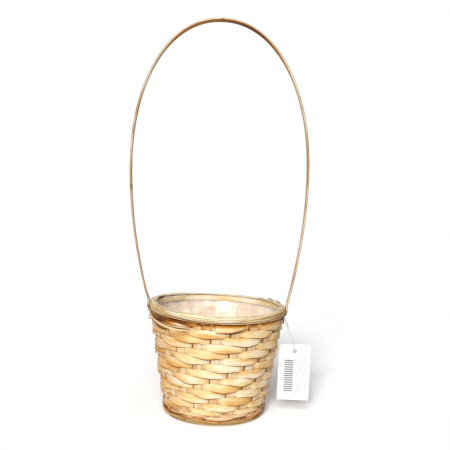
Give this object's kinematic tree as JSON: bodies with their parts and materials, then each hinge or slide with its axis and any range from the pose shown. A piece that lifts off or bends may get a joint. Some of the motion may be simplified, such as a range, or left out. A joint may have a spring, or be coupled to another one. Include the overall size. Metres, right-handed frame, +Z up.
{
  "type": "basket",
  "caption": "Small round flower basket woven from split bamboo, with a tall bow handle, clear film liner and blank hang tag.",
  "frame": {"origin": "on the floor under the middle of the basket's base", "axes": "+Z up along the basket's axis, +X to the side that carries the tag, -Y to the front"},
  "size_m": [0.1793, 0.1296, 0.3714],
  "materials": {
    "golden_bamboo": "planed split bamboo, satin, fine lengthwise fibre",
    "cream_bamboo": "thin shaved bamboo, satin, fine lengthwise fibre",
    "green_bamboo": "bamboo with its skin on, low gloss",
    "tan_bamboo": "bent bamboo strip, satin, with node marks",
    "clear_film": "clear glossy film",
    "nylon": "translucent moulded nylon",
    "card": "white coated card"
  },
  "bodies": {
    "basket": {"bow_handle": "tan_bamboo", "film_liner": "clear_film", "foot_strand_lower": "green_bamboo", "foot_strand_upper": "green_bamboo", "foot_weaver_1": "golden_bamboo", "foot_weaver_2": "golden_bamboo", "handle_tie_left": "green_bamboo", "handle_tie_right": "green_bamboo", "inner_hoop": "cream_bamboo", "packing_strip_1": "cream_bamboo", "packing_strip_2": "cream_bamboo", "rib_crosswise_1": "golden_bamboo", "rib_crosswise_2": "golden_bamboo", "rib_crosswise_3": "golden_bamboo", "rib_crosswise_4": "golden_bamboo", "rib_crosswise_5": "golden_bamboo", "rib_crosswise_6": "golden_bamboo", "rib_lengthwise_1": "golden_bamboo", "rib_lengthwise_2": "golden_bamboo", "rib_lengthwise_3": "golden_bamboo", "rib_lengthwise_4": "golden_bamboo", "rib_lengthwise_5": "golden_bamboo", "rim_cap_inner": "green_bamboo", "rim_cap_outer": "green_bamboo", "rim_strand_lower": "green_bamboo", "rim_strand_middle": "green_bamboo", "rim_strand_upper": "green_bamboo", "weaver_01": "cream_bamboo", "weaver_02": "cream_bamboo", "weaver_03": "cream_bamboo", "weaver_04": "cream_bamboo", "weaver_05": "cream_bamboo", "weaver_06": "cream_bamboo", "weaver_07": "cream_bamboo", "weaver_08": "cream_bamboo", "weaver_09": "cream_bamboo", "weaver_10": "cream_bamboo", "weaver_11": "cream_bamboo", "weaver_12": "cream_bamboo", "weaver_13": "cream_bamboo", "weaver_14": "cream_bamboo"},
    "loop": {"tag_loop": "nylon"},
    "tag": {"swing_tag": "card"}
  },
  "joints": [
    {"name": "loop_swing", "type": "hinge", "parent": "basket", "child": "loop", "pos_m": [0.06132, 0, 0.09093], "axis": [0, -1, 0], "range_deg": [0, 60]},
    {"name": "tag_swing", "type": "hinge", "parent": "loop", "child": "tag", "pos_m": [0.07572, -0.004, 0.06043], "axis": [0, -1, 0], "range_deg": [-10, 60]}
  ]
}
